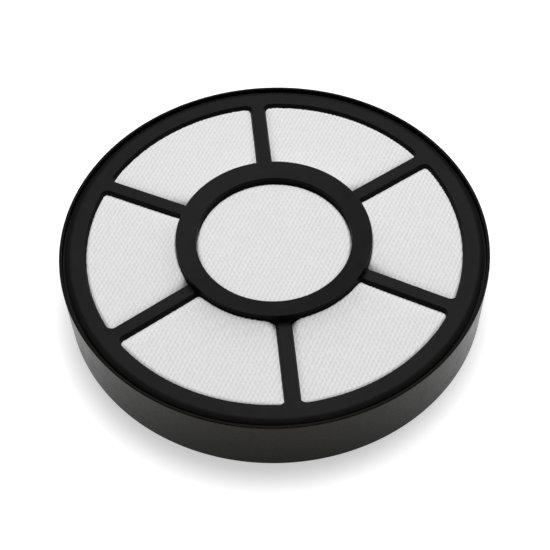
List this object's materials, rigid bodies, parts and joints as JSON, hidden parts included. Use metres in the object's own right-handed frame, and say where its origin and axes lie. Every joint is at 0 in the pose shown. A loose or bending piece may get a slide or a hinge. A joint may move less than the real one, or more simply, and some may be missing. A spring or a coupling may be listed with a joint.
{
  "type": "vacuum motor filter",
  "caption": "Round filter cartridge with a drafted black housing, a spoked cover that rises to a hub ring, and a white fleece over a foam pad.",
  "frame": {"origin": "centre of the foot ring, on the surface that the housing stands on", "axes": "+Z along the filter's axis, out of the spoked cover; +X through the middle of a window"},
  "size_m": [0.14, 0.14, 0.0264],
  "materials": {
    "housing_plastic": "satin moulded plastic",
    "cover_plastic": "fine matt moulded plastic",
    "white_fleece": "embossed nonwoven",
    "dark_foam": "open-cell foam"
  },
  "bodies": {
    "root": {"housing": "housing_plastic", "foam_pad": "dark_foam", "fleece_disc": "white_fleece", "spoked_cover": "cover_plastic"}
  },
  "joints": []
}
